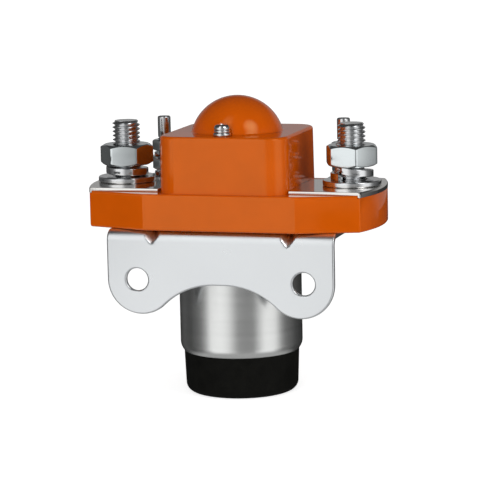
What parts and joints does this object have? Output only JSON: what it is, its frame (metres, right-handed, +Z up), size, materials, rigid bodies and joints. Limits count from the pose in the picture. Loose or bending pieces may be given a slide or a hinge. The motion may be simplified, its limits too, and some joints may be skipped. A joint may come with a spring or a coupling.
{
  "type": "dc contactor",
  "caption": "Dc contactor: a steel can with the coil on a bent mounting bracket, a moulded base with main and coil studs, and a domed cover over the bridge contact.",
  "frame": {"origin": "centre of the end cap's underside, on the can's axis", "axes": "+Z up the can's axis to the dome, +X from the left to the right main stud, -Y towards the mounting bracket's leg"},
  "size_m": [0.1078, 0.052, 0.1074],
  "materials": {
    "orange_plastic": "glossy moulded thermoset",
    "black_plastic": "matt moulded plastic",
    "can_steel": "bright drawn steel",
    "bracket_steel": "bright zinc plating",
    "screw_steel": "zinc plated",
    "tinned_copper": "bright tin plating",
    "silver_alloy": "silver contact alloy",
    "stud_steel": "bright nickel plating",
    "nut_steel": "bright zinc plating",
    "washer_steel": "bright zinc plating",
    "soft_iron": "turned soft iron",
    "bobbin_plastic": "moulded polyamide",
    "enamelled_wire": "wound enamelled copper wire",
    "copper": "plain copper",
    "shaft_steel": "ground stainless steel",
    "bronze": "sintered bronze",
    "spring_steel": "drawn spring wire",
    "lead_sleeve": "insulating sleeve"
  },
  "bodies": {
    "housing": {"base": "orange_plastic", "bobbin": "bobbin_plastic", "bracket": "bracket_steel", "bracket_screws": "screw_steel", "can": "can_steel", "cap_screw": "screw_steel", "coil_nuts_lower": "nut_steel", "coil_nuts_upper": "nut_steel", "coil_seat_washers": "washer_steel", "coil_spring_washers": "washer_steel", "coil_stud_left": "stud_steel", "coil_stud_right": "stud_steel", "coil_washers": "washer_steel", "core": "soft_iron", "cover": "orange_plastic", "cover_screw_washers": "screw_steel", "cover_screws": "screw_steel", "end_cap": "black_plastic", "fixed_tip_left": "silver_alloy", "fixed_tip_right": "silver_alloy", "lead_left": "lead_sleeve", "lead_right": "lead_sleeve", "lug_left": "tinned_copper", "lug_right": "tinned_copper", "main_nut_left": "nut_steel", "main_nut_right": "nut_steel", "main_spring_washer_left": "washer_steel", "main_spring_washer_right": "washer_steel", "main_stud_left": "stud_steel", "main_stud_right": "stud_steel", "main_washer_left": "washer_steel", "main_washer_right": "washer_steel", "pole_plate": "soft_iron", "return_spring": "spring_steel", "shaft_bush": "bronze", "terminal_plate_left": "tinned_copper", "terminal_plate_right": "tinned_copper", "winding": "enamelled_wire"},
    "armature": {"plunger": "soft_iron", "shaft": "shaft_steel", "carrier": "bobbin_plastic", "spring_seat": "shaft_steel", "retaining_clip": "spring_steel", "contact_spring": "spring_steel"},
    "bridge": {"bridge": "copper", "moving_tip_left": "silver_alloy", "moving_tip_right": "silver_alloy", "insulating_washer": "bobbin_plastic"}
  },
  "joints": [
    {"name": "armature_slide", "type": "slide", "parent": "housing", "child": "armature", "axis": [0, 0, -1], "range_m": [0, 0.0045], "stiffness_N_per_m": 400, "springref_m": -0.004, "deforming": ["return_spring"]},
    {"name": "bridge_slide", "type": "slide", "parent": "armature", "child": "bridge", "axis": [0, 0, 1], "range_m": [0, 0.001], "deforming": ["contact_spring"]}
  ],
  "couplings": [
    {"joint": "bridge_slide", "follows": "armature_slide", "ratio": 0.2222}
  ]
}
